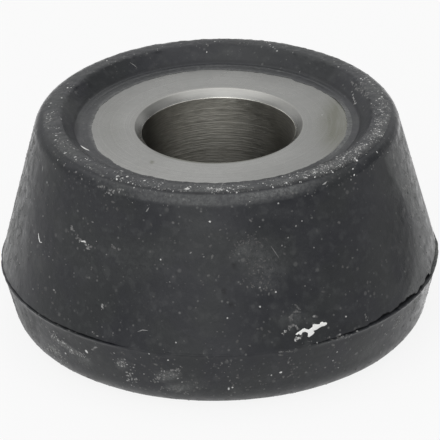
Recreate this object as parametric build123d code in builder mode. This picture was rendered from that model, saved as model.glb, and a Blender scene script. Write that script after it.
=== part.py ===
"""Rubber buffer: a thick steel sleeve with a tapered rubber body moulded and bonded around it.

The bore axis is +Z. The origin is at the middle of the wide base, and the narrow, lipped end points up.
"""
from build123d import *
import os

# Driving dimensions of the steel sleeve, in millimetres
bore_diameter = 21.0
bore_chamfer = 1.0
sleeve_diameter = 36.0
sleeve_edge_chamfer = 0.5

# Driving dimensions of the rubber body, in millimetres
overall_height = 31.2
end_recess = 2.0
ledge_width = 1.4
lip_width = 3.1
lip_inner_rounding = 0.8
lip_outer_rounding = 2.6
parting_diameter = 60.0
parting_height = 9.4
base_diameter = 55.2
base_outer_rounding = 4.5
flash_width = 0.15
flash_thickness = 0.3

# Places worked out from the sizes above
sleeve_bottom = end_recess
sleeve_top = overall_height - end_recess
sleeve_radius = sleeve_diameter / 2
visible_face_radius = sleeve_radius - sleeve_edge_chamfer
ledge_radius = sleeve_radius + ledge_width
lip_radius = ledge_radius + end_recess

# The steel sleeve: a turned tube, with its bore and outside edges broken at both ends
with BuildPart() as inner_sleeve:
    with BuildSketch(Plane.XY.offset(sleeve_bottom)):
        Circle(sleeve_radius)
        Circle(bore_diameter / 2, mode=Mode.SUBTRACT)
    extrude(amount=sleeve_top - sleeve_bottom)
    end_edges = inner_sleeve.edges().filter_by(GeomType.CIRCLE).group_by(SortBy.RADIUS)
    chamfer(end_edges[0], bore_chamfer)
    chamfer(end_edges[-1], sleeve_edge_chamfer)

# The rubber body: its half section, turned around the bore axis. It is bonded to the sleeve's outside and fills
# the broken edges there, so that it ends flush with the steel, with a ledge and a 45 degree bevel up to the lip.
lip_inner_corner = (lip_radius, overall_height)
lip_outer_corner = (lip_radius + lip_width, overall_height)
parting_corner = (parting_diameter / 2, parting_height)
base_corner = (base_diameter / 2, 0)

with BuildPart() as rubber_body:
    with BuildSketch(Plane.XZ) as section:
        with BuildLine():
            Polyline(
                (visible_face_radius, sleeve_top),
                (ledge_radius, sleeve_top),
                lip_inner_corner,
                lip_outer_corner,
                parting_corner,
                base_corner,
                (lip_radius, 0),
                (ledge_radius, sleeve_bottom),
                (visible_face_radius, sleeve_bottom),
                (sleeve_radius, sleeve_bottom + sleeve_edge_chamfer),
                (sleeve_radius, sleeve_top - sleeve_edge_chamfer),
                close=True,
            )
        make_face()
        for corner, rounding in (
            (lip_inner_corner, lip_inner_rounding),
            (lip_outer_corner, lip_outer_rounding),
            (base_corner, base_outer_rounding),
        ):
            fillet(section.vertices().sort_by_distance(corner)[0], rounding)
        # The thin fin of flash that is left where the two mould halves met
        with Locations(parting_corner):
            Rectangle(2 * flash_width, flash_thickness)
    revolve(axis=Axis.Z)

inner_sleeve.part.label = "inner_sleeve"
rubber_body.part.label = "rubber_body"

os.makedirs("parts", exist_ok=True)
export_step(inner_sleeve.part, "parts/inner_sleeve.step")
export_step(rubber_body.part, "parts/rubber_body.step")
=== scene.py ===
"""Looks of the rubber buffer: a thick steel sleeve in a tapered black rubber moulding, used and dusty.

Lengths are written in millimetres and turned to metres where a mesh is made. An azimuth is 0 at the front
(-Y), and grows towards the right (+X). Pixels are those of the 440 pixel wide photograph. Knots are pairs of
an azimuth in degrees and a value, and the first and last value hold beyond them.
"""

import math
import random

import bmesh
import bpy
import numpy as np
from mathutils import Matrix, Vector, noise
from mathutils.bvhtree import BVHTree


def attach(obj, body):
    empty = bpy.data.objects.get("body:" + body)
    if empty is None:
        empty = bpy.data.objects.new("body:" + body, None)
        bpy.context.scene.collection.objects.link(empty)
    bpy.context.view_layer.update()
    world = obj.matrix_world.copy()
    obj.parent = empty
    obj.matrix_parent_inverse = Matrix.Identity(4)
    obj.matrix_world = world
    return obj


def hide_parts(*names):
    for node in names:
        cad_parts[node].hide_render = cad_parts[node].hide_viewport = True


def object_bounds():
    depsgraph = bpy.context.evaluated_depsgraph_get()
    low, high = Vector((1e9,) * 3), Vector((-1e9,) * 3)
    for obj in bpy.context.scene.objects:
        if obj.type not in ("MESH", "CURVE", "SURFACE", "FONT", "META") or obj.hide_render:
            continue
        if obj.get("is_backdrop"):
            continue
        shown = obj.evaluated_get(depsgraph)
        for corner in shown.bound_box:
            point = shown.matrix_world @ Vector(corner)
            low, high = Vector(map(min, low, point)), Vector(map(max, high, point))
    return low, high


MM = 0.001

# The camera of the photograph: a long lens, a little above the part
IMAGE_SIDE = 440
SENSOR_WIDTH = 36.0
FOCAL_PIXELS = 7634.3
CAMERA_ELEVATION = 27.04
CAMERA_ROLL = -1.165
CAMERA_DISTANCE = 1050.0
CAMERA_TARGET = (0.15, 0.0, 14.62)
CLIP_DISTANCES = (0.05, 50)

# Sizes of the part, the same as those of the solids, except that the bore is drawn a little to the right
BORE_RADIUS = 10.5
BORE_CHAMFER = 1.0
BORE_OFFSET = 0.22
SLEEVE_RADIUS = 18.0
SLEEVE_EDGE_CHAMFER = 0.5
SLEEVE_BOTTOM = 2.0
SLEEVE_TOP = 29.2
MIDDLE_HEIGHT = 15.6
LEDGE_RADIUS = 19.4
LIP_RADIUS = 21.4
LIP_TOP = 31.2
LIP_OUTER_RADIUS = 24.5
LIP_INNER_ROUNDING = 0.8
LIP_OUTER_ROUNDING = 2.6
PARTING_RADIUS = 30.0
PARTING_HEIGHT = 9.4
BASE_RADIUS = 27.6
BASE_ROUNDING = 4.5

# How finely the turned meshes are cut, the gap around the tiles of their maps, and from what angle in
# degrees a crease stays crisp
RUBBER_TURNS = 560
STEEL_TURNS = 480
MAP_MARGIN = 0.004
SHARP_ANGLE = 50

# The steel's broken edges
BORE_ROUNDING = 0.15
MOUTH_ROUNDING = 0.12
RIM_BREAK = 0.03

# The rubber's section in detail. Steps run out and up: the skin's from the sleeve's broken edge, the ledge's
# as a radius and a step up from the sleeve's top, those of the crease and the fin from the parting radius and
# the seam. The band starts a little in and down from the parting
SKIN_STEPS = ((0, 0), (-0.02, 0.02), (0.1, 0.05), (0.4, 0.04))
LEDGE_STEPS = (
    (18.2, 0), (18.42, 0), (18.54, -0.04), (18.66, 0), (18.8, 0.02), (19.0, 0), (19.22, 0), (19.36, 0),
)
BEVEL_START = 0.08
CONE_STEP = 0.42
SEAM_ABOVE_PARTING = 0.1
CREASE_TOP = 0.26
CREASE_STEPS = ((-0.27, 0.11), (-0.27, 0.04))
FIN_STEPS = ((-0.03, 0), (0.12, -0.03), (0.15, -0.1), (0.11, -0.2), (-0.04, -0.36))
BAND_TOP = (0.14, 0.55)
UNDER_RADIUS = 18.5

# The rough crest runs this many steps over the lip's outer rounding
CREST_STEPS = 7

# How noise gets finer from octave to octave, and how a seed shifts it along y and z
NOISE_FALL = 0.8
NOISE_STEP = 2.0
SEED_SHIFTS = (0.37, 0.71)

# The shares by which the columns above the crease and in it follow its opening, the hollow over a flap with
# its shares, how far the fin's columns stand out, and the shares and limits of the skin's creep
ABOVE_SHARES = (0.2, 0.4, 0.6, 0.8, 1.0)
CREASE_SHARES = (0.85, 0.2)
HOLLOW = 0.26
HOLLOW_SHARES = (0.3, 0.7, 1.0)
FIN_STANDS = (0.0, 0.12, 0.15, 0.1, 0.0)
SKIN_SHARES = (1.0, 1.0, 0.95, 0.4)
SKIN_LIMITS = (-0.42, 0.95)

# How rough the crest is, how deep the groove beside it, and how lumpy the flank
CREST_ROUGH_KNOTS = ((-180, 0.07), (0, 0.07), (40, 0.12), (100, 0.12), (130, 0.07), (180, 0.07))
GROOVE_KNOTS = ((-180, 0.03), (-110, 0.0), (-60, 0.0), (-35, 0.05), (50, 0.05), (70, 0.02), (180, 0.03))
LUMPY_KNOTS = ((-115, 0), (-95, 1), (-66, 1), (-50, 0.15), (60, 0.1), (78, 0.25), (100, 0.4), (125, 0))

# How wide the crease over the flash opens, how jagged it is, how far it wanders, and where it has a flap
SEAM_KNOTS = (
    (-180, 1.0), (-100, 0.7), (-92, 1.0), (-66, 1.1), (-36, 1.0), (-30, 0.5), (-24, 0.06), (12, 0.03),
    (24, 0.08), (30, 0.5), (34, 1.0), (40, 1.3), (48, 2.2), (53, 3.4), (57, 4.2), (61, 3.0), (65, 2.4),
    (69, 3.6), (73, 4.0), (77, 2.4), (82, 1.6), (92, 1.3), (100, 0.8), (180, 1.0),
)
JAG_KNOTS = ((-30, 0.3), (15, 0.6), (40, 0.7), (100, 0.5), (180, 0.3))
WANDER_KNOTS = ((-180, 0.04), (-90, 0.015), (-20, 0.03), (20, 0.06), (60, 0.09), (110, 0.06), (180, 0.04))
FLAP_KNOTS = ((74, 0), (78, 0.8), (81, 1), (90, 1), (94, 0.4), (97, 0))

# How far the rubber skin creeps over the steel's edge, and how ragged its own edge is
SKIN_KNOTS = (
    (-180, 0.15), (-150, 0.25), (-125, 0.4), (-112, 0.3), (-100, 0.45), (-86, 0.4), (-76, 0.25), (-66, -0.3),
    (-57, -0.15), (-50, -0.4), (-42, -0.4), (-34, -0.3), (-26, -0.2), (-18, -0.3), (0, -0.3), (8, -0.2),
    (25, -0.35), (40, -0.4), (60, -0.4), (110, -0.42), (135, 0.15), (150, 0.3), (165, 0.35), (180, 0.15),
)
RAGGED_KNOTS = ((-180, 0.7), (-130, 0.35), (-60, 0.5), (-50, 1.0), (120, 1.0), (180, 0.7))

# Dust on the lip's crest and its shoulder, where the shoulder's fades down to the cone instead of ending,
# dust on the ledge, a white residue on its right, and a smeared skin on its left
CREST_DUST_KNOTS = (
    (-180, 0.03), (-120, 0.07), (-90, 0.16), (-65, 0.11), (-40, 0.08), (-20, 0.11), (0, 0.17), (40, 0.21),
    (90, 0.22), (120, 0.10), (180, 0.03),
)
SHOULDER_DUST_KNOTS = (
    (-75, 0.0), (-50, 0.03), (-38, 0.10), (-20, 0.18), (5, 0.19), (13, 0.34), (23, 0.36), (31, 0.14),
    (40, 0.06), (50, 0.04), (105, 0.07), (125, 0.0),
)
FADING_KNOTS = ((-2, 0.0), (14, 1.0))
LEDGE_DUST_KNOTS = (
    (-180, 0.2), (-150, 0.12), (-110, 0.05), (-70, 0.05), (-35, 0.1), (20, 0.12), (50, 0.05), (80, 0.0),
    (150, 0.1), (180, 0.2),
)
RESIDUE_KNOTS = ((48, 0.0), (66, 0.5), (104, 0.45), (122, 0.0))
SMEARED_KNOTS = ((-180, 0.1), (-145, 0.15), (-120, 0.35), (-66, 0.35), (-52, 0.0), (180, 0.1))

# Scuffed dust with a painted sheen, and dark streaks between it, on the flank's two sides
SIDE_DUST_KNOTS = (
    (-180, 0.0), (-105, 0.2), (-95, 1.4), (-84, 1.1), (-76, 0.5), (-68, 0.1), (-55, 0.0), (70, 0.0),
    (80, 0.4), (95, 0.5), (110, 0.1), (180, 0.0),
)
SIDE_GRIME_KNOTS = (
    (-180, 0.0), (-105, 0.2), (-95, 1.0), (-78, 0.8), (-62, 0.0), (72, 0.0), (80, 0.08), (110, 0.08),
    (180, 0.0),
)

# A painted shadow line along the crest's outer edge: how dark, where the left's shares hold, and the shares
# of its four columns, left and right. Painted shade darkens the crest's inner side in front, by shares from
# inside
CREST_LINE_KNOTS = ((-75, 0), (-55, 0.25), (-30, 0.5), (25, 0.55), (45, 0.5), (65, 0.35), (85, 0))
LINE_SIDE_KNOTS = ((-5, 1.0), (8, 0.0))
CREST_LINE_SHARES = ((0.0, 0.4, 1.0, 0.7), (0.9, 1.0, 0.7, 0.1))
CREST_INSIDE_KNOTS = ((-75, 0.0), (-55, 0.6), (45, 0.6), (65, 0.0))
INSIDE_SHARES = (1.0, 1.0, 0.9, 0.7, 0.4, 0.2)

# Smudges of dust under the names of their stretches: middle, reach along and across in pixels, turn in
# degrees, softness and strength
DUST_SMUDGES = {
    "cone": (
        (262, 262, 40, 34, 15, 1.0, 0.11), (242, 250, 22, 9, -35, 0.9, 0.1),
        (262, 285, 30, 10, 5, 1.0, 0.06), (295, 318, 10, 12, 40, 0.8, 0.1),
        (205, 225, 45, 16, 0, 1.0, 0.05), (150, 260, 50, 40, 0, 1.0, 0.04),
        (110, 245, 50, 70, 0, 1.0, 0.03), (408, 190, 9, 16, -30, 0.7, 0.14),
        (406, 176, 12, 2.5, 60, 0.8, 0.35), (412, 188, 9, 2, -55, 0.8, 0.35),
        (404, 168, 4, 12, -20, 0.8, 0.12), (418, 215, 2, 14, -14, 0.8, 0.25),
        (424, 232, 2.5, 10, -8, 0.8, 0.15), (17, 225, 12, 50, 8, 0.8, 0.08),
        (22, 262, 7, 20, 10, 0.8, 0.08), (40, 262, 12, 14, 0, 0.9, 0.05),
        (19, 240, 2.5, 12, 12, 0.9, 0.18), (27, 212, 4, 15, 12, 0.9, 0.12),
        (60, 230, 12, 18, 0, 1.0, 0.04), (85, 275, 16, 14, 20, 1.0, 0.04), (24, 215, 5, 22, 8, 0.9, 0.1),
        (14, 258, 3, 12, 5, 0.9, 0.14), (108, 185, 20, 8, 20, 0.9, 0.03),
        (304, 250, 28, 62, 0, 1.0, 0.025), (285, 212, 36, 14, 0, 1.0, 0.045),
        (150, 305, 40, 22, 0, 1.0, 0.03), (108, 326, 16, 20, 20, 1.0, 0.03),
        (390, 194, 14, 18, 0, 1.0, 0.04), (290, 316, 34, 20, 0, 1.0, 0.035),
        (146, 330, 26, 14, 10, 1.0, 0.035),
    ),
    "band foot": (
        (168, 376, 17, 7, -8, 0.8, 0.33), (178, 388, 20, 5, 5, 0.8, 0.24),
        (122, 364, 9, 8, 20, 0.9, 0.28), (54, 350, 10, 4.5, 35, 0.7, 0.75),
        (66, 346, 24, 3.5, 34, 0.9, 0.6), (78, 360, 22, 7, 30, 0.9, 0.1), (396, 325, 5, 13, 30, 0.8, 0.2),
        (368, 352, 24, 10, -30, 1.0, 0.08), (412, 305, 8, 22, 22, 0.8, 0.25),
        (418, 298, 3, 8, 25, 0.7, 0.3), (402, 318, 12, 2.5, -45, 0.8, 0.25),
        (424, 286, 4, 3, 30, 0.7, 0.35), (384, 338, 14, 2.5, -35, 0.8, 0.12),
        (26, 318, 7, 26, -25, 0.9, 0.05), (86, 361, 12, 5, 30, 0.9, 0.2), (192, 384, 24, 8, 0, 1.0, 0.08),
    ),
    "bevel": (
        (232, 50, 20, 7, 0, 0.8, 0.04), (205, 56, 26, 5, 0, 1.0, 0.04), (346, 74, 18, 10, 35, 0.9, 0.08),
        (366, 120, 10, 34, 5, 1.0, 0.07), (280, 50, 14, 5, 8, 0.8, 0.05),
    ),
    "bevel crest": (
        (364, 90, 15, 9, 48, 0.9, 0.14),
    ),
}

# Cleaner, darker places and small pits on the rubber, in the same form, and painted shade beside the seam on
# the right
DARK_SMUDGES = {
    "cone": (
        (234, 266, 4, 4, 0, 1.0, 1.0), (224, 291, 4, 4, 0, 1.0, 1.0), (231, 305, 4, 4, 0, 1.0, 1.0),
        # Painted shade above the seam on the right
        (350, 326, 30, 6, -18, 0.9, 0.3),
    ),
    "band foot": (
        # Its last row is painted shade below the seam on the right
        (31, 324, 9, 24, -25, 0.9, 0.3), (66, 341, 22, 5, 32, 0.9, 0.2), (352, 338, 26, 4, -18, 0.9, 0.3),
    ),
    "ledge": (
        (76, 130, 4, 24, 0, 0.8, 0.35),
    ),
    "crest": (
        (225, 42, 60, 6, 0, 1.0, 0.3),
    ),
}

# The flank is lighter on its right, part dust and part painted reflection, past an azimuth in degrees set by
# height
LIGHT_SIDE_KNOTS = (
    (10.5, 57), (11.4, 61), (12.9, 65.2), (14.8, 68.5), (17.1, 71.2), (19.1, 72), (20.7, 71.7), (22.1, 70.4),
    (23.5, 69), (27, 64),
)
LIGHT_SIDE = 0.17

# Flakes are low domes with this many rim points, whose middle rises by a share of their reach. Slivers and
# the sheet rise by millimetres, and the rim of every patch sinks a little
RIM_STEPS = 6
RIM_SHADE = 0.35
SINK = 0.012
DOME_SPREAD = 1.25
DOME_RISE = 0.3
SLIVER_RISE = 0.03
SHEET_RISE = 0.05
PIXELS_PER_MM = 7.27
FLAKE_SEED = 31

# Scattered flakes: how strongly they crowd together, their reach at least and at most, and the shades of
# the bright ones
CROWDED = 1.6
SMALLEST_REACH = 0.028
LARGEST_REACH = 0.19
BRIGHT_SHADES = (0.35, 1.0)

# Fields of scattered flakes: stretches, density at some azimuths, whether painted dust and sheen add to it,
# middle reach in millimetres, share of bright flakes at some azimuths, and the shades of the dim ones
FLAKE_FIELDS = (
    ("crest",
     (
         (-180, 1.7), (-125, 1.7), (-105, 2.2), (-50, 2.6), (-15, 3.6), (10, 3.6), (30, 4.2), (95, 3.8),
         (115, 2.5), (180, 1.5),
     ),
     True, 0.062,
     ((-180, 0.08), (-110, 0.16), (-50, 0.2), (0, 0.28), (30, 0.3), (100, 0.3), (125, 0.16), (180, 0.08)),
     (0.08, 0.26)),
    ("shoulder", ((-180, 0.4), (-60, 1.3), (0, 0.6), (35, 1.8), (90, 1.2), (180, 0.4)),
     False, 0.07, ((-180, 0.04), (-60, 0.07), (0, 0.04), (45, 0.12), (180, 0.04)), (0.05, 0.18)),
    ("cone", ((-180, 0.12), (-60, 0.2), (0, 0.11), (40, 0.07), (75, 0.02), (110, 0.04), (180, 0.12)),
     True, 0.11, ((0, 0.0),), (0.02, 0.1)),
    ("band foot", ((-180, 0.4), (-20, 0.6), (10, 0.6), (60, 0.4), (180, 0.4)),
     True, 0.11, ((0, 0.04),), (0.03, 0.13)),
    ("ledge bevel", ((0, 0.3),),
     False, 0.06, ((0, 0.03),), (0.04, 0.14)),
)

# Trails of crumbs: line and width in pixels, how many, and their darkest and lightest shade
CRUMBS = (
    (((71, 227), (73.5, 231)), 1.6, 12, (0.08, 0.2)), (((75, 233), (79, 240)), 1.2, 12, (0.06, 0.16)),
    (((80, 241), (84, 241.5), (89, 249)), 1.4, 22, (0.1, 0.4)),
    (((87, 246), (93, 246.5)), 1.2, 8, (0.08, 0.25)),
    (((111, 243), (114, 248), (121, 250)), 1.0, 16, (0.06, 0.14)),
    (((50, 333), (57, 339.5), (65, 345.5), (73, 351.5), (84, 356)), 2.4, 110, (0.08, 0.45)),
    (((90, 350), (96, 347.5)), 1.0, 10, (0.1, 0.35)),
    (((46, 346), (58, 354), (66, 364)), 3.5, 60, (0.1, 0.4)),
    (((102, 304), (103, 309)), 1.4, 12, (0.12, 0.4)), (((118, 362), (126, 366)), 5.5, 26, (0.06, 0.32)),
    (((126, 372), (136, 382)), 5.0, 30, (0.1, 0.4)),
    (((152, 380), (166, 374), (180, 370)), 4.5, 70, (0.06, 0.3)),
    (((160, 388), (186, 392)), 3.5, 36, (0.06, 0.22)), (((200, 360), (240, 372)), 14.0, 30, (0.04, 0.17)),
    (((240, 385), (300, 380)), 12.0, 22, (0.04, 0.14)), (((286, 331), (283, 334)), 1.0, 8, (0.12, 0.4)),
    (((295, 341), (297, 338), (300, 337.5)), 1.2, 16, (0.2, 0.6)),
    (((289, 329), (291.5, 326), (294, 325), (297, 326.2), (298, 329)), 1.0, 34, (0.08, 0.24)),
    (((291.5, 320), (290.5, 317), (292.5, 314.5), (297.5, 311)), 1.6, 34, (0.06, 0.14)),
    (((295, 304), (299, 309)), 2.0, 12, (0.06, 0.12)), (((304, 343), (320, 341)), 6.0, 8, (0.05, 0.16)),
    (((230, 256), (236, 246), (250, 238), (268, 240)), 5.0, 50, (0.02, 0.08)),
    (((244, 282), (262, 288), (276, 290)), 6.0, 30, (0.03, 0.1)),
    (((250, 250), (268, 272)), 14.0, 60, (0.02, 0.08)),
    (((353, 92), (353.5, 98), (355, 103)), 1.2, 20, (0.15, 0.5)),
    (((352, 82), (360, 90), (366, 95)), 3.0, 50, (0.08, 0.28)),
    (((98, 187), (104, 186)), 1.2, 14, (0.08, 0.25)), (((106, 193), (122, 190)), 2.0, 20, (0.1, 0.3)),
    (((58, 140), (66, 144), (76, 150)), 2.5, 36, (0.06, 0.2)),
    (((340, 158), (352, 151), (364, 146)), 2.5, 60, (0.15, 0.6)),
    (((370, 142), (376, 132), (379, 118)), 3.0, 60, (0.12, 0.5)),
    (((300, 176), (318, 170), (334, 163)), 2.5, 50, (0.12, 0.5)),
    (((204, 188.5), (216, 189.5), (228, 189)), 1.2, 26, (0.15, 0.6)),
    (((386, 334), (394, 328), (400, 321), (401, 317)), 1.6, 40, (0.08, 0.3)),
    (((365, 314), (367, 320)), 0.8, 10, (0.06, 0.2)),
    (((422, 292), (416, 304), (410, 312)), 3.0, 36, (0.08, 0.4)),
    (((396, 320), (404, 314)), 3.0, 20, (0.06, 0.3)), (((280, 352), (292, 351)), 1.0, 16, (0.06, 0.16)),
    (((330, 339), (350, 335)), 2.0, 18, (0.06, 0.24)),
    (((405, 172), (410, 181), (415, 178)), 1.2, 26, (0.25, 0.42)),
    (((403, 189), (410, 185), (416, 181)), 1.8, 30, (0.22, 0.38)),
)

# Specks that stand out: pixel, reach in pixels and shade, and for some how stretched they are and their
# turn in degrees
SPECKS = (
    (47, 182.5, 0.9, 0.45, 1.5, 90), (43, 216, 1.1, 0.22, 1.2), (21.5, 248.5, 0.9, 0.3),
    (31, 252, 0.8, 0.28), (43, 254.5, 0.8, 0.22), (49, 256.5, 0.8, 0.2, 1.6), (53, 260, 1.0, 0.15, 1.2),
    (54, 290, 1.3, 0.34, 1.2), (33, 289, 0.8, 0.3, 1.6, 90), (72, 228, 1.3, 0.22, 1.5, 50),
    (84.5, 241.6, 1.3, 0.85, 1.5, 5), (88, 248.5, 1.2, 0.35, 1.3, 60), (96.5, 241.2, 0.8, 0.34),
    (92.5, 222, 0.8, 0.18, 2, 5), (106.5, 254.5, 0.9, 0.2, 1.3), (74, 273, 0.9, 0.17),
    (66, 264.5, 0.8, 0.15), (65, 259, 0.8, 0.15), (101, 187, 1.0, 0.2, 2.4), (114, 190.5, 0.9, 0.32, 1.2),
    (119, 192.5, 0.9, 0.24), (109.5, 193.5, 1.0, 0.17, 1.6), (102, 306.5, 1.1, 0.4, 1.8, 75),
    (86.5, 351.5, 1.6, 0.9, 1.6, 60), (58, 340.3, 1.1, 0.75, 1.4, 10), (64.5, 343.5, 1.1, 0.6, 1.3, 30),
    (68, 347, 0.9, 0.5, 1.3, 30), (71.8, 350.2, 1.2, 0.8, 1.4, 30), (64, 338.5, 0.8, 0.36),
    (46, 327, 1.0, 0.26, 1.2), (36, 314, 1.1, 0.2, 1.4, 20), (51, 350, 1.5, 0.32, 1.6, 30),
    (56, 352.5, 1.2, 0.36, 1.4), (114, 353, 1.0, 0.3, 1.2), (122, 362, 1.0, 0.6), (122, 366, 1.1, 0.6),
    (127, 364.5, 0.9, 0.5), (127, 380.5, 0.9, 0.5), (92.5, 332, 0.9, 0.26),
    (97.5, 336, 0.8, 0.22, 2.2, -5), (113, 333, 0.9, 0.2), (102, 327, 0.8, 0.18),
    (117, 176.2, 1.3, 0.6, 1.5, 15), (122.5, 178, 1.1, 0.55, 1.2), (127, 176.5, 1.3, 0.7, 1.3),
    (286.7, 183, 1.2, 0.85), (306, 177.6, 1.0, 0.6, 1.9, 8), (325, 183.5, 0.9, 0.4, 2.0, -30),
    (332.5, 172, 1.1, 0.8, 1.1), (351, 179.5, 1.0, 0.26, 1.2), (302, 221, 0.9, 0.34),
    (296, 226, 1.0, 0.4), (288, 237.6, 0.9, 0.34), (282, 245.5, 0.9, 0.22), (314, 247.5, 0.9, 0.22, 1.2),
    (278.4, 203.4, 1.0, 0.5), (305, 286, 0.9, 0.24), (275.8, 292, 1.1, 0.55),
    (314.3, 316.3, 1.2, 0.3, 1.6), (346, 316.5, 1.0, 0.6), (284.8, 331, 1.1, 0.6),
    (282.3, 333.5, 0.9, 0.4), (298.5, 338, 1.3, 0.7, 1.3, -20), (295.4, 340.5, 1.1, 0.7, 1.2, 60),
    (340, 334.4, 1.1, 0.34, 1.3, -15), (357, 331, 1.1, 0.4, 1.2), (346, 338, 0.9, 0.2, 2, -10),
    (382, 325.5, 1.1, 0.28, 1.6, 80), (317, 342.6, 1.0, 0.36), (329, 342, 0.9, 0.24),
    (328, 357, 0.9, 0.22), (333, 360.6, 1.1, 0.5, 1.1), (325, 367.5, 1.2, 0.18, 1.3),
    (280.9, 372.4, 1.4, 0.85, 1.2), (384, 345, 0.8, 0.4), (356, 353.5, 1.5, 0.16, 1.6),
    (391, 336, 1.2, 0.16, 1.3), (386, 260, 0.8, 0.15), (187.4, 188.8, 1.2, 0.85, 2.2, -22),
    (209.8, 221.6, 1.1, 0.75, 1.4), (160.6, 259.6, 1.0, 0.6), (176, 342.6, 0.9, 0.6),
    (227.4, 318, 1.0, 0.5), (260, 306.7, 1.1, 0.6), (260, 287.5, 0.9, 0.4), (259.7, 226.8, 0.9, 0.3),
    (232.5, 387.4, 1.1, 0.75), (164, 375, 1.1, 0.6), (144, 374, 0.9, 0.4), (149, 353.8, 1.0, 0.55),
    (147.5, 209.8, 1.0, 0.24, 2.2, -55), (190.6, 252.8, 0.9, 0.22, 1.8, -30),
    (203.8, 256.8, 0.9, 0.2, 1.2), (182, 382, 0.9, 0.45), (169.6, 282, 0.9, 0.15, 1.4, 30),
    (197, 387.6, 1.3, 0.16, 1.4), (212, 188.6, 1.1, 0.5, 1.8, 10), (220, 189.2, 1.2, 0.5, 1.5),
    (238, 186.6, 0.9, 0.7), (263, 183.2, 0.9, 0.7), (270, 44.5, 1.0, 0.5, 1.2), (277, 51, 1.0, 0.45),
    (215, 41.5, 0.9, 0.45, 1.4), (210, 222, 0.9, 0.6), (322, 115, 0.9, 0.8), (382, 97, 1.1, 0.9),
    (382.5, 111.3, 0.8, 0.7, 1.8), (381, 124, 0.9, 0.7, 1.5), (382, 136, 1.1, 0.9),
    (373.7, 84.3, 1.1, 0.7, 1.2, 30), (370, 82, 0.8, 0.6), (386, 107, 0.9, 0.35), (388, 110, 0.7, 0.35),
    (377, 152, 1.0, 0.6), (357, 160.5, 1.3, 1.0, 1.1), (395, 165, 0.9, 0.5, 1.7, 90),
    (344, 157.5, 1.0, 0.8, 1.5, -25), (361, 143.5, 0.8, 0.7, 1.6, -30), (364.5, 145, 1.0, 0.6),
    (371, 139.5, 0.9, 0.8, 1.6), (343, 85, 0.9, 0.2), (366, 95, 0.9, 0.3), (51, 103, 1.0, 0.6, 1.4),
    (49, 106.5, 1.0, 0.55, 1.2), (52, 112.5, 1.0, 0.55), (47, 118.5, 0.9, 0.5), (50, 120, 1.1, 0.45),
    (61, 119, 1.1, 0.6), (56, 135.5, 1.0, 0.75, 1.6), (60, 133, 0.9, 0.5, 1.3), (74, 148.5, 0.9, 0.5),
    (65, 153, 0.9, 0.65, 2), (75, 157, 0.9, 0.6, 2), (76, 159.5, 0.9, 0.5, 1.5), (87, 159.5, 1.0, 0.65),
    (81, 160, 0.8, 0.5), (90, 160.5, 0.8, 0.5), (105, 167.5, 0.9, 0.45, 1.5, 20), (133, 178, 0.8, 0.5),
    (134, 187.5, 0.9, 0.5), (131, 181.5, 0.8, 0.5), (64, 165.5, 1.4, 0.14), (76, 172, 1.3, 0.2),
)

# Slivers: line of pixels, width in pixels and shade
SLIVERS = (
    (((38.3, 233), (38.8, 238), (39.8, 242), (42, 242.6)), 1.9, 0.92),
    (((80.5, 241.5), (84, 241.3), (86, 242.5)), 2.2, 0.7),
    (((137.5, 331.8), (142.5, 330), (148, 330.6)), 1.3, 0.22),
    (((130, 62.5), (134, 65), (137, 67.5)), 1.1, 0.22),
    (((80.6, 145.6), (85, 148.5), (89.4, 150.6)), 2.2, 0.9),
    (((271, 246), (275, 252), (279, 258)), 1.2, 0.12), (((145.8, 212), (149, 207.5)), 1.6, 0.2),
    (((322.5, 185), (327, 181.5)), 1.6, 0.35),
)

# Narrow scuffs up the flank: stretches, middle azimuth and spread in degrees, how many, and their shades
SCUFFS = (
    ("cone", -84, 6, 220, (0.12, 0.34)), ("cone", 82, 6, 120, (0.2, 0.42)),
    ("band foot", -72, 9, 80, (0.05, 0.3)), ("band foot", 70, 9, 110, (0.04, 0.35)),
)

# A white scrape with a ragged outline, in pixels
SCRAPE_SHADE = 0.9
SCRAPE = (
    (295, 334.6), (297, 332.7), (300, 330.8), (302.5, 328.8), (304.5, 328), (306.5, 328.9),
    (308.5, 329.4), (310.5, 328.2), (312.5, 326.3), (312.5, 324.4), (315, 323.8), (317.5, 324.1),
    (319.5, 324), (320.3, 322.6), (322, 321.4), (324, 322.4), (326, 322.2), (327.2, 322.8),
    (326.8, 324.6), (324.8, 326), (322, 326.5), (319.5, 328), (316.5, 330), (313.5, 331), (311.6, 332),
    (313, 332.6), (314.5, 332.6), (313.5, 334.2), (311.5, 335.8), (309, 337.3), (307.6, 336.6),
    (308.6, 335.4), (309.4, 333.6), (308, 333.3), (306, 332.2), (304.5, 332), (302.6, 332.6),
    (301.8, 334.6), (300, 335), (299, 333.8), (297, 335),
)

# How dull the steel face is near the bore and near the rubber, and the painted shade on the chamfer at the
# bore's mouth
DULL_INSIDE = (
    (-180, 0.2), (-140, 0.3), (-100, 0.24), (-80, 0.33), (-60, 0.27), (-40, 0.24), (-20, 0.02), (0, 0.04),
    (20, 0.12), (40, 0.19), (60, 0.45), (80, 0.52), (100, 0.42), (140, 0.27), (180, 0.2),
)
DULL_OUTSIDE = (
    (-180, 0.24), (-160, 0.24), (-140, 0.42), (-120, 0.6), (-100, 0.5), (-80, 0.44), (-60, 0.24), (-40, 0.19),
    (-20, 0.02), (0, 0.08), (20, 0.35), (40, 0.5), (60, 0.58), (80, 0.55), (100, 0.45), (120, 0.5),
    (140, 0.52), (160, 0.4), (180, 0.24),
)
MOUTH_SHADE = (
    (-148, 0), (-138, 0.3), (-120, 0.45), (-60, 0.45), (-30, 1.0), (30, 1.0), (60, 0.5), (110, 0.4),
    (135, 0.2), (150, 0),
)
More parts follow.
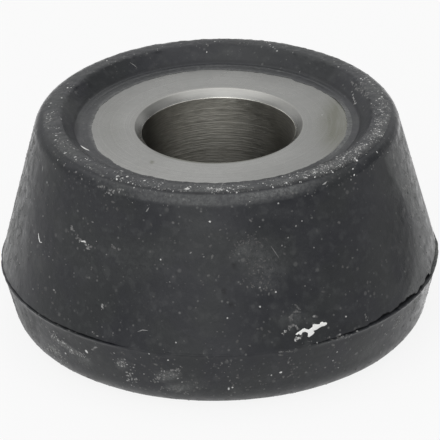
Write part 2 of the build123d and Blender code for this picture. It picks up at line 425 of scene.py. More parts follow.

# Painted highlight on that chamfer, which is also rougher there, painted shade on its near side, and painted
# shade on the bore's wall
HIGHLIGHTED_MOUTH = ((-130, 0.9), (-110, 0.5), (-60, 0.6), (-35, 0), (35, 0), (60, 0.6), (110, 0.5), (130, 0.9))
MOUTH_NEAR_SHADE = ((-50, 0), (-30, 1), (30, 1), (50, 0))
BORE_SHADED = (
    (-150, 0), (-130, 0.4), (-112, 0.8), (-90, 0.95), (-60, 0.7), (-40, 0.1), (-25, 0), (85, 0), (105, 0.04),
    (125, 0),
)

# Stains on the steel face, in the form of the smudges
STEEL_STAINS = {
    "face": (
        (341, 121, 27, 50, 10, 0.8, 0.85), (322, 118, 22, 54, 4, 1.0, 0.2),
        (334, 123, 3, 30, 8, 1.0, 0.4), (112, 130, 20, 46, 0, 1.0, 0.15),
        (152, 162, 3.5, 2.5, 0, 0.8, 0.9),
    ),
}

# Colours. A pair is the darker and the lighter shade between which a noise or a paint runs
WHITE = (1.0, 1.0, 1.0)
PAPER_COLOUR = (0.8, 0.8, 0.8)
RUBBER_COLOURS = ((0.0145, 0.0156, 0.0196), (0.0168, 0.0186, 0.0203))
TALC_COLOUR = (0.26, 0.265, 0.26)
GRAIN_COLOUR = (0.5, 0.5, 0.48)
# Grime, and painted shade in the crease, under the bevel and along the crest
GRIME_AND_SHADE_COLOUR = (0.006, 0.006, 0.007)
FLAKE_COLOURS = ((0.02, 0.02, 0.021), (0.98, 0.98, 0.96))
STEEL_COLOURS = ((0.325, 0.325, 0.314), (0.355, 0.355, 0.343))
# Colours of the chamfer's painted highlight, of dull steel and painted shade, of turning lines, and of stains
# and painted shade
HIGHLIGHT_COLOUR = (0.41, 0.405, 0.385)
DULL_AND_SHADE_COLOUR = (0.17, 0.172, 0.165)
LINE_COLOUR = (0.19, 0.19, 0.185)
STAIN_AND_SHADE_COLOUR = (0.155, 0.156, 0.13)
BORE_COLOURS = ((0.60, 0.588, 0.545), (0.87, 0.855, 0.80))
# Painted shade deep in the bore and on its sides
DEEP_SHADE_COLOUR = (0.03, 0.03, 0.025)
SHADED_COLOUR = (0.06, 0.06, 0.055)

# How strongly the rubber mirrors, where 0.5 is common
RUBBER_GLOSS = 0.38

# The floor as the camera and gloss see it, in levels where 1 is white, and how far right its dark edge lies
FLOOR_SEEN = 0.88
FLOOR_EVEN = 0.87
FLOOR_RIGHT_GAIN = 0.8
FLOOR_RIGHT_EDGE = 70
FLOOR_RIGHT_SHADE = 0.94
FLOOR_LEFT_GAIN = 0.7
FLOOR_FAR_LEFT_GAIN = 0.6

# The room that gloss reflects, in the same levels, its edge and its window as directions, and the light that
# falls on dull surfaces from the front and from behind
BACK_LEVEL = 0.97
BACK_LOW_LEVELS = (0.34, 0.45)
BACK_EDGE = 0.5
FRONT_LEVEL = 0.22
SIDE_LEVEL = 0.32
RIGHT_FRONT_SHADES = (0.6, 2.0)
RIGHT_SHADE = 0.1
CEILING_LEVEL = 0.6
WINDOW_LEVEL = 1.4
WINDOW_DIRECTION = (-0.12, -0.91, 0.4)
AMBIENT_FRONT = 0.45
AMBIENT_BEHIND = 0.2

# The floor's half side in metres, and the soft light over the part with its side in metres and its power
FLOOR_SIZE = 6.0
SOFTBOX_PLACE = (-120, -60, 1000)
SOFTBOX_AIM = (0, 0, 15)
SOFTBOX_SIDE = 1.4
SOFTBOX_POWER = 5.6

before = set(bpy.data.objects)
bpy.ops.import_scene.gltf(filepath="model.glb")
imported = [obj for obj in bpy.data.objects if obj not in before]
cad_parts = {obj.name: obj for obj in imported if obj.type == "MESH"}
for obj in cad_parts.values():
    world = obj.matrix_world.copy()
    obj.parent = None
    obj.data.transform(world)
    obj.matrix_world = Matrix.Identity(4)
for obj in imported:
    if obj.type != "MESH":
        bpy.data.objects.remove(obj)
cad_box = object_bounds()


# The camera

def camera_axes():
    """The camera's right, up and back directions."""
    elevation, roll = math.radians(CAMERA_ELEVATION), math.radians(CAMERA_ROLL)
    back = Vector((0, -math.cos(elevation), math.sin(elevation)))
    level_up = Vector((0, math.sin(elevation), math.cos(elevation)))
    level_right = Vector((1, 0, 0))
    right = math.cos(roll) * level_right + math.sin(roll) * level_up
    up = -math.sin(roll) * level_right + math.cos(roll) * level_up
    return right, up, back


def camera_place():
    """Where the camera stands, in millimetres."""
    return Vector(CAMERA_TARGET) + camera_axes()[2] * CAMERA_DISTANCE


def add_object(name, data):
    made = bpy.data.objects.new(name, data)
    bpy.context.scene.collection.objects.link(made)
    return made


def make_camera():
    data = bpy.data.cameras.new("photo_camera")
    data.sensor_width = SENSOR_WIDTH
    data.lens = FOCAL_PIXELS * SENSOR_WIDTH / IMAGE_SIDE
    data.clip_start, data.clip_end = CLIP_DISTANCES
    camera = add_object("photo_camera", data)
    turn = Matrix(camera_axes()).transposed().to_4x4()
    camera.matrix_world = Matrix.Translation(camera_place() * MM) @ turn
    bpy.context.scene.camera = camera


def sight(pixel):
    """The direction in which the camera sees a pixel of the photograph."""
    right, up, back = camera_axes()
    middle = IMAGE_SIDE / 2
    across, down = (pixel[0] - middle) / FOCAL_PIXELS, (pixel[1] - middle) / FOCAL_PIXELS
    return (right * across - up * down - back).normalized()


def seen_at(points):
    """The pixels at which the camera sees points in millimetres, given as the last axis of an array."""
    right, up, back = (np.array(axis) for axis in camera_axes())
    away = points - np.array(camera_place())
    depth = -away @ back
    middle = IMAGE_SIDE / 2
    return middle + FOCAL_PIXELS * (away @ right) / depth, middle - FOCAL_PIXELS * (away @ up) / depth


# Profiles and turned meshes

def rounded(before, corner, after, radius, steps):
    """Points along an arc that rounds a corner between two neighbours."""
    before, corner, after = Vector(before), Vector(corner), Vector(after)
    back, onward = (before - corner).normalized(), (after - corner).normalized()
    half = back.angle(onward) / 2
    reach = radius / math.tan(half)
    middle = corner + (back + onward).normalized() * radius / math.sin(half)
    start, end = corner + back * reach - middle, corner + onward * reach - middle
    sweep = start.angle(end)
    points = []
    for i in range(steps + 1):
        share = i / steps
        swung = (start * math.sin((1 - share) * sweep) + end * math.sin(share * sweep)) / math.sin(sweep)
        points.append(tuple(middle + swung))
    return points


def stretch(points, spacing):
    """The same line with points about a spacing apart, its own points kept."""
    line = [points[0]]
    for start, end in zip(points, points[1:]):
        steps = max(1, round(math.dist(start, end) / spacing))
        for i in range(1, steps + 1):
            line.append(tuple(a + (b - a) * i / steps for a, b in zip(start, end)))
    return line


class Profile:
    """A closed half section, made of named stretches."""

    def __init__(self):
        self.points, self.names = [], []

    def add(self, name, points):
        for point in points:
            if not self.points or math.dist(point, self.points[-1]) > 1e-6:
                self.points.append(tuple(point))
                self.names.append(name)

    def normals(self):
        """The outward direction at each point, for a section that runs with its solid on the right."""
        count = len(self.points)
        found = []
        for i in range(count):
            before, after = self.points[i - 1], self.points[(i + 1) % count]
            along = Vector((after[0] - before[0], after[1] - before[1])).normalized()
            found.append((-along[1], along[0]))
        return np.array(found)

    def mask(self, *names):
        return np.array([name in names for name in self.names])

    def columns(self, *names):
        return np.where(self.mask(*names))[0]

    def grid(self, turns):
        """Arrays of azimuth, radius and height, one row for each azimuth and one column for each point."""
        azimuths = np.arange(turns) * 2 * math.pi / turns
        radii, heights = np.array(self.points).T
        azimuth, radius = np.meshgrid(azimuths, radii, indexing="ij")
        return azimuth, radius, np.tile(heights, (turns, 1))


def around(azimuths, knots):
    """A value that changes with the azimuth, run through (degrees, value) knots."""
    return np.interp((np.degrees(azimuths) + 180) % 360 - 180, *zip(*knots))


def noises(xs, ys, zs, octaves):
    """Smooth noise from -1 to 1 at points whose coordinates are arrays, or one number for them all."""
    xs, ys, zs = np.broadcast_arrays(xs, ys, zs)
    found = []
    for spot in zip(xs.ravel(), ys.ravel(), zs.ravel()):
        plain = octaves == 1
        found.append(noise.noise(spot) if plain else noise.fractal(spot, NOISE_FALL, NOISE_STEP, octaves))
    return np.array(found).reshape(xs.shape)


def grid_noise(azimuth, radius, height, size, seed, octaves=1):
    """Smooth noise from -1 to 1 at each grid point, with features about as large as size in millimetres."""
    xs, ys = radius * np.sin(azimuth) / size, -radius * np.cos(azimuth) / size
    aside, up = (seed * shift for shift in SEED_SHIFTS)
    return noises(xs + seed, ys + aside, height / size - up, octaves)


def ring_noise(azimuths, size, radius, seed, octaves=1):
    """Smooth noise from -1 to 1 around the axis, with features about as long as size in millimetres."""
    xs, ys = radius * np.sin(azimuths) / size, -radius * np.cos(azimuths) / size
    aside, up = (seed * shift for shift in SEED_SHIFTS)
    return noises(xs + seed, ys + aside, up, octaves)


def turned_points(azimuth, radius, height):
    return np.stack([radius * np.sin(azimuth), -radius * np.cos(azimuth), height], axis=2)


def ring_faces(turns, columns):
    """The faces of a grid that closes around the axis and around its section."""
    faces = []
    for i in range(turns):
        row, following = i * columns, (i + 1) % turns * columns
        for j in range(columns):
            onward = (j + 1) % columns
            faces.append((row + j, row + onward, following + onward, following + j))
    return faces


def map_mesh(mesh, places):
    """Gives the mesh its map of the surface, one place for each corner of each face."""
    layer = mesh.uv_layers.new(name="OFBake")
    layer.data.foreach_set("uv", np.array(places).ravel())


def turned_mesh(name, azimuth, radius, height, tiles):
    """A closed ring mesh from grid arrays, with a map of its surface cut into tiles around the axis."""
    turns, points = radius.shape
    faces = ring_faces(turns, points)
    mesh = bpy.data.meshes.new(name)
    mesh.from_pydata((turned_points(azimuth, radius, height) * MM).reshape(-1, 3), [], faces)
    mesh.polygons.foreach_set("use_smooth", [True] * len(faces))
    steps = np.hypot(np.diff(radius[0], append=radius[0, 0]), np.diff(height[0], append=height[0, 0]))
    along = np.concatenate([[0], np.cumsum(steps)])
    along /= along[-1]
    columns, rows = tiles
    last_tile = columns * rows - 1
    per_tile = turns // (last_tile + 1)
    width, tall = 1 / columns - 2 * MAP_MARGIN, 1 / rows - 2 * MAP_MARGIN
    places = []
    for i in range(turns):
        tile = min(i // per_tile, last_tile)
        left, bottom = (tile % columns) / columns + MAP_MARGIN, (tile // columns) / rows + MAP_MARGIN
        tile_turns = per_tile if tile < last_tile else turns - per_tile * last_tile
        u, u_after = (left + width * (i - tile * per_tile + step) / tile_turns for step in (0, 1))
        for v, v_after in zip(bottom + tall * along, bottom + tall * along[1:]):
            places += [(u, v), (u, v_after), (u_after, v_after), (u_after, v)]
    map_mesh(mesh, places)
    return add_object(name, mesh)


def paint(piece, name, values):
    """Stores one number for each vertex, for the piece's material to read."""
    layer = piece.data.attributes.new(name, "FLOAT", "POINT")
    layer.data.foreach_set("value", np.asarray(values, dtype=np.float32).ravel())


class Surface:
    """A turned surface as a grid of points, with the pixel of each, and a way to find what a pixel shows."""

    def __init__(self, profile, azimuth, radius, height):
        self.profile = profile
        self.azimuth = azimuth
        self.azimuths = azimuth[:, :1]
        self.points = turned_points(azimuth, radius, height)
        self.across, self.down = seen_at(self.points)
        around_axis = np.roll(self.points, -1, axis=0) - np.roll(self.points, 1, axis=0)
        along = np.roll(self.points, -1, axis=1) - np.roll(self.points, 1, axis=1)
        normals = np.cross(along, around_axis)
        self.normals = normals / np.maximum(np.linalg.norm(normals, axis=2, keepdims=True), 1e-9)
        self.facing = self.normals @ np.array(camera_axes()[2]) > 0
        self.tree = BVHTree.FromPolygons(self.points.reshape(-1, 3).tolist(), ring_faces(*azimuth.shape))

    def touch(self, pixel):
        """The point and normal that the camera sees at a pixel."""
        point, normal, _, _ = self.tree.ray_cast(camera_place(), sight(pixel))
        return point, normal

    def columns(self, *names):
        return self.profile.columns(*names)

    def around(self, knots):
        """One value for each azimuth, as a column, run through (degrees, value) knots."""
        return around(self.azimuths, knots)

    def noise(self, columns, size, seed, octaves, tall=1.0, radius=PARTING_RADIUS):
        """Noise on some columns, with features taller than wide by a factor."""
        height = self.points[:, columns, 2] / tall
        return grid_noise(self.azimuth[:, columns], radius, height, size, seed, octaves)

    def smudge(self, names, x, y, wide, high, turn, edge, strength):
        """How much each point lies in a soft oval of pixels, on some stretches of the profile only."""
        swing = math.radians(turn)
        dx, dy = self.across - x, self.down - y
        along = (dx * math.cos(swing) + dy * math.sin(swing)) / wide
        aside = (dy * math.cos(swing) - dx * math.sin(swing)) / high
        share = np.clip((1 - np.hypot(along, aside)) / edge, 0, 1)
        share = share * share * (3 - 2 * share) * self.facing
        share[:, ~self.profile.mask(*names)] = 0
        return strength * share

    def smudges(self, table):
        """One smudge after another from a table of rows under the names of their stretches."""
        for names, rows in table.items():
            for row in rows:
                yield self.smudge(names.split(), *row)


# The rubber

def rubber_profile():
    """The rubber's half section, from the sleeve's top edge over the lip and down the outside."""
    profile = Profile()
    edge, top, bottom = SLEEVE_RADIUS - SLEEVE_EDGE_CHAMFER, SLEEVE_TOP, SLEEVE_BOTTOM
    lip_inner, lip_outer = (LIP_RADIUS, LIP_TOP), (LIP_OUTER_RADIUS, LIP_TOP)
    parting, foot = (PARTING_RADIUS, PARTING_HEIGHT), (BASE_RADIUS, 0)
    seam = PARTING_HEIGHT + SEAM_ABOVE_PARTING
    profile.add("wall", [(SLEEVE_RADIUS, top - SLEEVE_EDGE_CHAMFER)])
    profile.add("skin", [(edge + out, top + up) for out, up in SKIN_STEPS])
    profile.add("ledge", [(radius, top + up) for radius, up in LEDGE_STEPS])
    inner_arc = rounded((LEDGE_RADIUS, top), lip_inner, lip_outer, LIP_INNER_ROUNDING, 5)
    outer_arc = rounded(lip_inner, lip_outer, parting, LIP_OUTER_ROUNDING, 17)
    profile.add("bevel", stretch([(LEDGE_RADIUS + BEVEL_START, top + BEVEL_START), inner_arc[0]], 0.28))
    profile.add("crest", inner_arc)
    profile.add("crest", stretch([inner_arc[-1], outer_arc[0]], 0.17))
    profile.add("crest", outer_arc[:CREST_STEPS])
    profile.add("shoulder", outer_arc[CREST_STEPS:])
    lean = (PARTING_RADIUS - outer_arc[-1][0]) / (outer_arc[-1][1] - PARTING_HEIGHT)
    cone_end = (PARTING_RADIUS - lean * CONE_STEP, PARTING_HEIGHT + CONE_STEP)
    profile.add("cone", stretch([outer_arc[-1], cone_end], CONE_STEP))
    profile.add("crease", [(PARTING_RADIUS - lean * CREASE_TOP, PARTING_HEIGHT + CREASE_TOP)])
    profile.add("crease", [(PARTING_RADIUS + out, seam + up) for out, up in CREASE_STEPS])
    profile.add("fin", [(PARTING_RADIUS + out, seam + up) for out, up in FIN_STEPS])
    foot_arc = rounded(parting, foot, (LIP_RADIUS, 0), BASE_ROUNDING, 13)
    band_top = (PARTING_RADIUS - BAND_TOP[0], PARTING_HEIGHT - BAND_TOP[1])
    profile.add("band", stretch([band_top, foot_arc[0]], 0.36))
    profile.add("foot", foot_arc)
    profile.add("under", stretch([foot_arc[-1], (LIP_RADIUS, 0)], 1.1))
    profile.add("under", stretch([(LIP_RADIUS, 0), (LEDGE_RADIUS, bottom)], 1.0))
    profile.add("under", [(UNDER_RADIUS, bottom), (edge, bottom)])
    profile.add("wall", [(SLEEVE_RADIUS, height) for height in (bottom + SLEEVE_EDGE_CHAMFER, 10, 20)])
    return profile


def rubber_lift(profile, grid):
    """How far the clean turned rubber is lifted along its normals: lumps, a rough crest and a groove."""

    def lumps(columns, size, seed, octaves=1, tall=1):
        azimuth, radius, height = (part[:, columns] for part in grid)
        return grid_noise(azimuth, radius, height / tall, size, seed, octaves)

    azimuths = grid[0][:, :1]
    lift = np.zeros(grid[0].shape)
    free = np.where(~profile.mask("wall", "under", "skin", "ledge"))[0]
    lift[:, free] += 0.04 * lumps(free, 9.0, 3.1) + 0.014 * lumps(free, 1.7, 7.7, 2)
    crest, flank = profile.columns("crest"), profile.columns("cone", "band")
    lift[:, crest] += around(azimuths, CREST_ROUGH_KNOTS) * lumps(crest, 0.7, 1.3, 2)
    lift[:, profile.columns("shoulder")[:2]] -= around(azimuths, GROOVE_KNOTS)
    lift[:, flank] += 0.02 * around(azimuths, LUMPY_KNOTS) * lumps(flank, 1.6, 15.0, tall=2)
    return lift


def seam_opening(azimuths):
    """How far the crease over the flash opens: closed in front, and wide and jagged on the right."""
    jag = 1 + around(azimuths, JAG_KNOTS) * 1.4 * ring_noise(azimuths, 1.3, 30.0, 12.0, 3)
    return np.clip(around(azimuths, SEAM_KNOTS) * jag, 0.0, 5.0)


def open_seam(profile, azimuths, radius, height):
    """Opens the crease over the flash, and makes the fin wander, curl up as a flap and lose nicks."""
    opening, flap = seam_opening(azimuths), around(azimuths, FLAP_KNOTS)
    absent = 1 - np.clip(opening / 0.5, 0, 1)
    wander = around(azimuths, WANDER_KNOTS) * ring_noise(azimuths, 1.4, 30.0, 4.0, 2)
    crease, fin = profile.columns("crease"), profile.columns("fin")
    rise = 0.15 * (opening - 1)
    lean = (PARTING_RADIUS - LIP_OUTER_RADIUS) / (LIP_TOP - PARTING_HEIGHT)
    above, shares = np.arange(crease[0] - 4, crease[0] + 1), np.array(ABOVE_SHARES)
    height[:, above] += shares * (rise + wander)
    radius[:, above] -= shares * rise * lean
    height[:, crease[1:]] += np.array(CREASE_SHARES) * rise + wander
    radius[:, above[-3:]] -= HOLLOW * np.array(HOLLOW_SHARES) * flap
    radius[:, crease[1:]] += 0.25 * absent - 0.45 * flap - 0.12 * np.clip(opening - 1.2, 0, 3)
    height[:, fin] += wander
    radius[:, fin[:1]] -= 0.4 * flap
    nicks = np.clip(ring_noise(azimuths, 1.2, 30.0, 9.0, 2) - 0.15, 0, 0.6)
    stand = np.array(FIN_STANDS)
    radius[:, fin] -= stand * absent + 1.3 * stand * nicks
    height[:, fin] += 3.0 * stand * flap * (1 - nicks)


def creep_skin(profile, azimuths, radius):
    """Makes the rubber's thin skin creep over the steel's rim, with a ragged edge."""
    creep = 0.16 * ring_noise(azimuths, 5.0, 17.5, 6.0, 2) + 0.22 * ring_noise(azimuths, 1.1, 17.5, 8.0, 3)
    creep = creep * around(azimuths, RAGGED_KNOTS) + around(azimuths, SKIN_KNOTS)
    radius[:, profile.columns("skin")] -= np.clip(creep, *SKIN_LIMITS) * np.array(SKIN_SHARES)


def make_rubber():
    profile = rubber_profile()
    azimuth, radius, height = grid = profile.grid(RUBBER_TURNS)
    lift, normals = rubber_lift(profile, grid), profile.normals()
    radius, height = radius + lift * normals[:, 0], height + lift * normals[:, 1]
    open_seam(profile, azimuth[:, :1], radius, height)
    creep_skin(profile, azimuth[:, :1], radius)
    piece = turned_mesh("rubber", azimuth, radius, height, tiles=(2, 2))
    piece.data.set_sharp_from_angle(angle=math.radians(SHARP_ANGLE))
    return piece, Surface(profile, azimuth, radius, height)


# The steel sleeve

def steel_profile():
    """The sleeve's half section, with its turned edges broken."""
    profile = Profile()
    bottom, top = SLEEVE_BOTTOM, SLEEVE_TOP
    bore, mouth = BORE_RADIUS, BORE_RADIUS + BORE_CHAMFER
    edge = SLEEVE_RADIUS - SLEEVE_EDGE_CHAMFER
    low_bore, high_bore = (bore, bottom + BORE_CHAMFER), (bore, top - BORE_CHAMFER)
    low_mouth, high_mouth = (mouth, bottom), (mouth, top)
    profile.add("bore", rounded(low_mouth, low_bore, high_bore, BORE_ROUNDING, 3))
    profile.add("bore", stretch([profile.points[-1], high_bore], 1.0)[:-1])
    profile.add("bore", rounded(low_bore, high_bore, high_mouth, BORE_ROUNDING, 3))
    profile.add("mouth", rounded(high_bore, high_mouth, (edge, top), MOUTH_ROUNDING, 3))
    profile.add("face", stretch([profile.points[-1], (SLEEVE_RADIUS - RIM_BREAK, top)], 0.4))
    profile.add("wall", [(SLEEVE_RADIUS, top - RIM_BREAK), (SLEEVE_RADIUS, bottom + SLEEVE_EDGE_CHAMFER)])
    profile.add("face", stretch([(edge, bottom), low_mouth], 1.0)[:-1])
    profile.add("mouth", rounded((edge, bottom), low_mouth, low_bore, MOUTH_ROUNDING, 3))
    return profile


def make_steel():
    profile = steel_profile()
    azimuth, radius, height = profile.grid(STEEL_TURNS)
    inner = profile.mask("bore", "mouth")
    radius[:, inner] += BORE_OFFSET * np.sin(azimuth[:, inner])
    piece = turned_mesh("steel_sleeve", azimuth, radius, height, tiles=(2, 1))
    return piece, Surface(profile, azimuth, radius, height)


# Painted dust and grime

def crest_dust(surface, radii):
    """Patchy talc on the lip's crest, less of it on the crest's inner side."""
    crest = surface.columns("crest")
    inside = np.clip((radii[crest] - LIP_RADIUS + 0.1) / 1.3, 0, 1)
    across = np.hypot(surface.points[:, crest, 0], surface.points[:, crest, 1])
    patchy = 1 + 1.1 * surface.noise(crest, 2.6, 61.0, 3, radius=across)
    return surface.around(CREST_DUST_KNOTS) * inside ** 1.5 * np.clip(patchy, 0.2, 2.0)


def shoulder_dust(surface):
    """Talc on the lip's shoulder, which ends sharply on the left and fades down to the cone on the right."""
    share = np.linspace(0, 1, len(surface.columns("shoulder")))
    start, end = np.clip((share - 0.05) / 0.12, 0, 1), np.clip((0.92 - share) / 0.06, 0, 1)
    faded = np.clip(1.6 - 1.6 * share, 0, 1)
    fading = surface.around(FADING_KNOTS)
    return surface.around(SHOULDER_DUST_KNOTS) * start * (end * (1 - fading) + fading * faded)


def light_side(surface, cone):
    """The cone's lighter right, part dust and part painted reflection, with a sharp edge at an azimuth set by
    height.
    """
    edge = np.interp(surface.points[:, cone, 2], *zip(*LIGHT_SIDE_KNOTS))
    degrees = np.degrees(surface.azimuth[:, cone])
    blotches = 1 + 0.7 * surface.noise(cone, 4.0, 51.0, 2)
    return LIGHT_SIDE * blotches * np.clip((degrees - edge) / 1.3, 0, 1) * np.clip((125 - degrees) / 30, 0, 1)


def rubber_dust_and_sheen(surface):
    """Talc on the rubber's lip, level ledge, smears, smudges and both sides, with painted sheen on the sides.
    """
    dust_and_sheen = np.zeros(surface.azimuth.shape)
    radii, heights = np.array(surface.profile.points).T
    dust_and_sheen[:, surface.columns("crest")] = crest_dust(surface, radii)
    level, skin = surface.columns("ledge", "skin"), surface.columns("skin")
    outward = np.clip((LEDGE_RADIUS - 0.1 - radii[level]) / 0.7, 0, 1)
    dust_and_sheen[:, level] = surface.around(LEDGE_DUST_KNOTS) * outward
    uneven = 1 + 0.5 * ring_noise(surface.azimuths, 1.5, 18.0, 21.0, 2)
    dust_and_sheen[:, [*skin, *surface.columns("ledge")[:2]]] += surface.around(RESIDUE_KNOTS) * uneven
    dust_and_sheen[:, skin[:3]] += surface.around(SMEARED_KNOTS) * uneven
    band = surface.columns("band", "foot")
    dust_and_sheen[:, band] += 0.1 * np.clip((PARTING_HEIGHT - heights[band]) / PARTING_HEIGHT, 0, 1) ** 2
    dust_and_sheen[:, surface.columns("fin")] += 0.6 * surface.around(FLAP_KNOTS)
    dust_and_sheen[:, surface.columns("shoulder")] += shoulder_dust(surface)
    for smudge in surface.smudges(DUST_SMUDGES):
        dust_and_sheen += smudge
    cone, flank = surface.columns("cone"), surface.columns("cone", "band", "foot")
    # Part dust, part painted reflection: the cone's lighter right
    dust_and_sheen[:, cone] += light_side(surface, cone)
    # Dust streaks on the flank's two sides, with painted sheen
    streaks = np.clip(surface.noise(flank, 1.3, 33.0, 3, tall=2), 0, 0.35)
    dust_and_sheen[:, flank] += surface.around(SIDE_DUST_KNOTS) * (0.07 + 0.9 * streaks)
    return np.clip(dust_and_sheen, 0, 1)


def rubber_grime_and_shade(surface):
    """Painted shade in the crease over the flash, under the bevel and on the crest's edges, flank streaks,
    smudges.
    """
    grime_and_shade = np.zeros(surface.azimuth.shape)
    # Painted shade in the crease over the flash and in the corner under the bevel
    opening = np.clip(seam_opening(surface.azimuths), 0, 1.4)
    grime_and_shade[:, surface.columns("crease")] = 0.6 * np.clip(opening - 0.3, 0, 1)
    grime_and_shade[:, surface.columns("bevel")[:2]] = 0.25
    # Painted shade on the crest's inner side in front, and a painted shadow line along its outer edge
    crest = surface.columns("crest")
    grime_and_shade[:, crest[:len(INSIDE_SHARES)]] += surface.around(CREST_INSIDE_KNOTS) * np.array(INSIDE_SHARES)
    line = surface.around(CREST_LINE_KNOTS) * (0.8 + 0.6 * ring_noise(surface.azimuths, 2.0, 24.0, 17.0))
    on_left, left, right = surface.around(LINE_SIDE_KNOTS), *np.array(CREST_LINE_SHARES)
    edge = [*crest[-2:], *surface.columns("shoulder")[:2]]
    grime_and_shade[:, edge] = line * (left * on_left + right * (1 - on_left))
    flank = surface.columns("cone", "band", "foot")
    streaks = np.clip(surface.noise(flank, 1.0, 41.0, 3, tall=1.5) - 0.15, 0, 0.5)
    grime_and_shade[:, flank] += surface.around(SIDE_GRIME_KNOTS) * streaks * 0.7
    for smudge in surface.smudges(DARK_SMUDGES):
        grime_and_shade += smudge
    return np.clip(grime_and_shade, 0, 1)


def mouth_paint(surface, knots):
    """Paint on the chamfer at the bore's mouth only, by azimuth."""
    painted = np.zeros(surface.azimuth.shape)
    painted[:, surface.columns("mouth")] = surface.around(knots)
    return painted


def steel_dullness_and_shade(surface):
    """How dull the sleeve's face has become, by azimuth, near its bore and outer edge, and painted shade on
    the chamfer.
    """
    share = np.clip((np.array(surface.profile.points)[:, 0] - 13) / 3.5, 0, 1)
    dull = surface.around(DULL_INSIDE) * (1 - share) + surface.around(DULL_OUTSIDE) * share
    dull[:, surface.columns("mouth")] = surface.around(MOUTH_SHADE)
    return dull


def steel_stain_and_shade(surface):
    """Painted shade on the near side of the chamfer, and stains at some places on the face."""
    stain_and_shade = mouth_paint(surface, MOUTH_NEAR_SHADE)
    for smudge in surface.smudges(STEEL_STAINS):
        stain_and_shade += smudge
    return stain_and_shade


# Flakes, slivers and scrapes of talc, which lie on the surface as thin raised patches

class Heap:
    """Gathers thin patches into one mesh, each with its own shade and its own cell of the map."""

    def __init__(self, chance, *surfaces):
        self.chance = chance
        self.surfaces = surfaces
        self.points, self.faces, self.shades, self.charts = [], [], [], []

    def touch(self, pixel):
        """The nearest point and its normal at a pixel, on any of the surfaces, or none beside the part."""
        found = [surface.touch(pixel) for surface in self.surfaces]
        found = [(point, normal) for point, normal in found if point is not None]
        return min(found, key=lambda hit: (hit[0] - camera_place()).length, default=None)

    def add(self, points, faces, shades, chart):
        """Adds one patch. Its chart places each of its points in a square from 0 to 1."""
        start = len(self.points)
        self.points += [tuple(point) for point in points]
        self.faces += [tuple(start + index for index in face) for face in faces]
        self.shades += shades
        self.charts.append(chart)

    def dome(self, middle, normal, along, long_reach, wide_reach, shade):
        """A low dome with a ragged rim, whose rim sinks into the surface."""
        aside = normal.cross(along).normalized() * wide_reach * DOME_SPREAD
        along = aside.cross(normal).normalized() * long_reach * DOME_SPREAD
        points, chart = [middle + normal * DOME_RISE * wide_reach], [(0.5, 0.5)]
        for i in range(RIM_STEPS):
            turn = 2 * math.pi * i / RIM_STEPS
            ragged = self.chance.uniform(0.75, 1.2)
            x, y = math.cos(turn) * ragged, math.sin(turn) * ragged
            points.append(middle + along * x + aside * y - normal * SINK)
            chart.append((0.5 + 0.35 * x, 0.5 + 0.35 * y))
        faces = [(0, 1 + i, 1 + (i + 1) % RIM_STEPS) for i in range(RIM_STEPS)]
        self.add(points, faces, [shade] + [shade * RIM_SHADE] * RIM_STEPS, chart)

    def speck(self, x, y, reach, shade, stretched=1.0, turn=0.0):
        """A flake at a pixel, with its reach in pixels."""
        hit = self.touch((x, y))
        if hit is None:
            return
        point, normal = hit
        right, up, _ = camera_axes()
        swing = math.radians(turn)
        along = right * math.cos(swing) - up * math.sin(swing)
        along = (along - normal * along.dot(normal)).normalized()
        self.dome(point, normal, along, reach * stretched / PIXELS_PER_MM, reach / PIXELS_PER_MM, shade)

    def sliver(self, line, width, shade):
        """A thin tapered ridge that follows a line of pixels over the surface."""
        hits = [self.touch(pixel) for pixel in stretch(line, 1.2)]
        last = len(hits) - 1
        points, chart = [], []
        for i, (point, normal) in enumerate(hits):
            onward = (hits[min(i + 1, last)][0] - hits[max(i - 1, 0)][0]).normalized()
            aside = normal.cross(onward).normalized()
            taper = math.sin(math.pi * (0.12 + 0.76 * i / last))
            half = width / 2 / PIXELS_PER_MM * taper
            for offset, lift in ((-half, -SINK), (0, SLIVER_RISE * taper), (half, -SINK)):
                points.append(point + aside * offset + normal * lift)
                chart.append((0.1 + 0.8 * i / last, 0.5 + 0.3 * offset / half))
        starts = [3 * i + j for i in range(last) for j in range(2)]
        faces = [(start, start + 1, start + 4, start + 3) for start in starts]
        self.add(points, faces, [shade] * len(points), chart)

    def sheet(self, outline, shade):
        """A thin flat patch with an outline of pixels, its edge sunk into the surface."""
        flat = bmesh.new()
        flat.faces.new([flat.verts.new((x, y, 0)) for x, y in outline])
        for _ in range(2):
            bmesh.ops.triangulate(flat, faces=flat.faces[:])
            bmesh.ops.subdivide_edges(flat, edges=flat.edges[:], cuts=1, use_grid_fill=True)
        flat.verts.index_update()
        xs, ys = zip(*outline)
        side = max(max(xs) - min(xs), max(ys) - min(ys))
        points, chart = [], []
        for vertex in flat.verts:
            point, normal = self.touch(vertex.co[:2])
            points.append(point + normal * (-SINK if vertex.is_boundary else SHEET_RISE))
            across, down = vertex.co.x - min(xs), vertex.co.y - min(ys)
            chart.append((0.1 + 0.8 * across / side, 0.1 + 0.8 * down / side))
        faces = [[vertex.index for vertex in face.verts] for face in flat.faces]
        flat.free()
        self.add(points, faces, [shade] * len(points), chart)

    def mesh(self, name):
        mesh = bpy.data.meshes.new(name)
        mesh.from_pydata([(x * MM, y * MM, z * MM) for x, y, z in self.points], [], self.faces)
        per_side = math.ceil(math.sqrt(len(self.charts)))
        places = []
        for i, chart in enumerate(self.charts):
            column, row = i % per_side, i // per_side
            places += [((column + u) / per_side, (row + v) / per_side) for u, v in chart]
        map_mesh(mesh, [places[loop.vertex_index] for loop in mesh.loops])
        piece = add_object(name, mesh)
        paint(piece, "shade", self.shades)
        return piece


